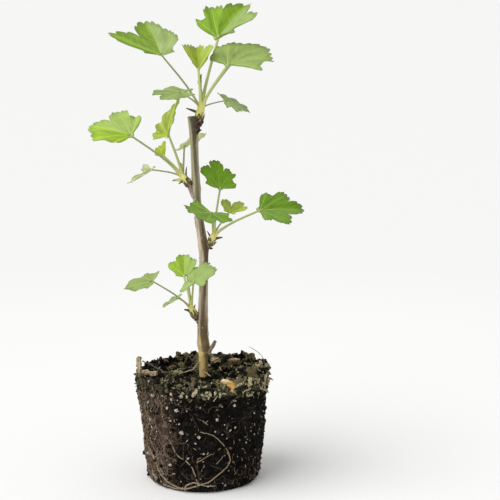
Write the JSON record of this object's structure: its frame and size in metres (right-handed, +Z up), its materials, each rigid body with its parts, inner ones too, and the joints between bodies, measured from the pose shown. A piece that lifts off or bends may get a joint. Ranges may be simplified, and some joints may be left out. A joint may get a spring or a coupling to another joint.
{
  "type": "gooseberry bush",
  "caption": "Young gooseberry bush on its bare root ball: a leaning woody cane with leafy spurs of lobed, toothed leaves and a dry stub.",
  "frame": {"origin": "middle of the root ball's flat underside", "axes": "+Z up along the cane, -Y towards the front, +X to the right seen from the front"},
  "size_m": [0.1354, 0.0832, 0.2958],
  "materials": {
    "compost": "dark moist compost bound by fine roots, matt",
    "bark": "grey-tan young bark with dark streaks, satin",
    "spur_bark": "dark red-brown scaly bark, matt",
    "dead_wood": "dry grey-brown wood, matt",
    "leaf": "fresh green leaf with a soft sheen"
  },
  "bodies": {
    "root": {"root_ball": "compost", "cane": "bark", "dead_stub": "dead_wood", "top_spur": "spur_bark", "top_leaves": "leaf", "left_spur": "spur_bark", "left_leaves": "leaf", "right_spur": "spur_bark", "right_leaves": "leaf", "low_spur": "spur_bark", "low_leaves": "leaf"}
  },
  "joints": []
}
